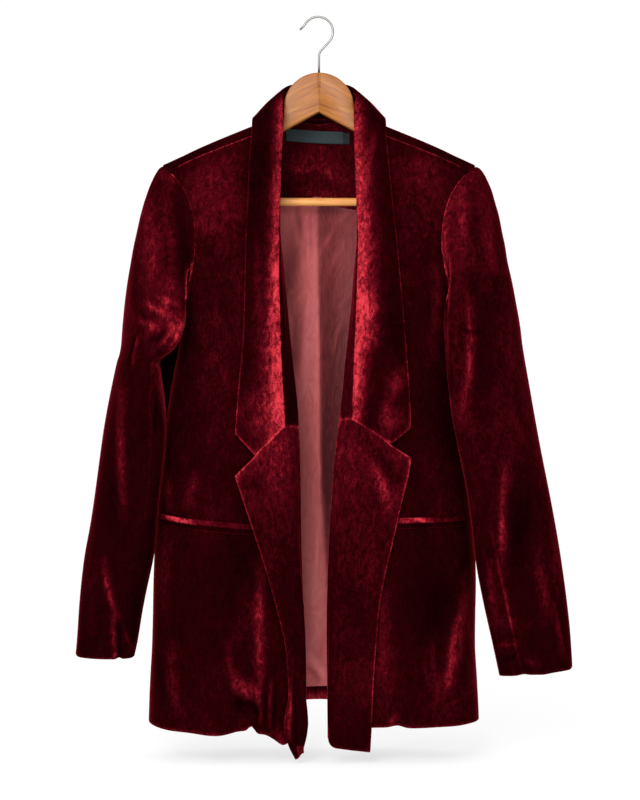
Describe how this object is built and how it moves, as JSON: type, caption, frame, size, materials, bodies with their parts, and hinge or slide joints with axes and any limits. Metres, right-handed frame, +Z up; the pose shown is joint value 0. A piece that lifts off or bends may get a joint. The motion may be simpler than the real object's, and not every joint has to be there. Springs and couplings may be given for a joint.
{
  "type": "velvet blazer on a wooden hanger",
  "caption": "Open-fronted velvet blazer with a long notched collar, jetted pockets and a satin back lining, hanging hollow on a wooden hanger with a trouser bar and wire hook.",
  "frame": {"origin": "inside the crown of the hook, where a rail carries it", "axes": "+Z up along the hook's stem, the front of the blazer faces -Y, the wearer's left is +X"},
  "size_m": [0.5928, 0.1758, 0.8828],
  "materials": {
    "velvet": "crushed pile with a bright sheen",
    "lining_satin": "soft satin",
    "label_cloth": "woven, matte",
    "hanger_wood": "clear lacquer",
    "hook_steel": "polished"
  },
  "bodies": {
    "root": {"front_left": "velvet", "front_right": "velvet", "back": "velvet", "upper_sleeve_left": "velvet", "upper_sleeve_right": "velvet", "under_sleeve_left": "velvet", "under_sleeve_right": "velvet", "collar": "velvet", "lapel_left": "velvet", "lapel_right": "velvet", "pocket_jet_upper_left": "velvet", "pocket_jet_lower_left": "velvet", "pocket_jet_upper_right": "velvet", "pocket_jet_lower_right": "velvet", "back_neck_facing": "velvet", "back_lining": "lining_satin", "neck_label": "label_cloth", "size_tab": "label_cloth", "hanger_half_left": "hanger_wood", "hanger_half_right": "hanger_wood", "hanger_bar": "hanger_wood", "hanger_hook": "hook_steel"}
  },
  "joints": []
}
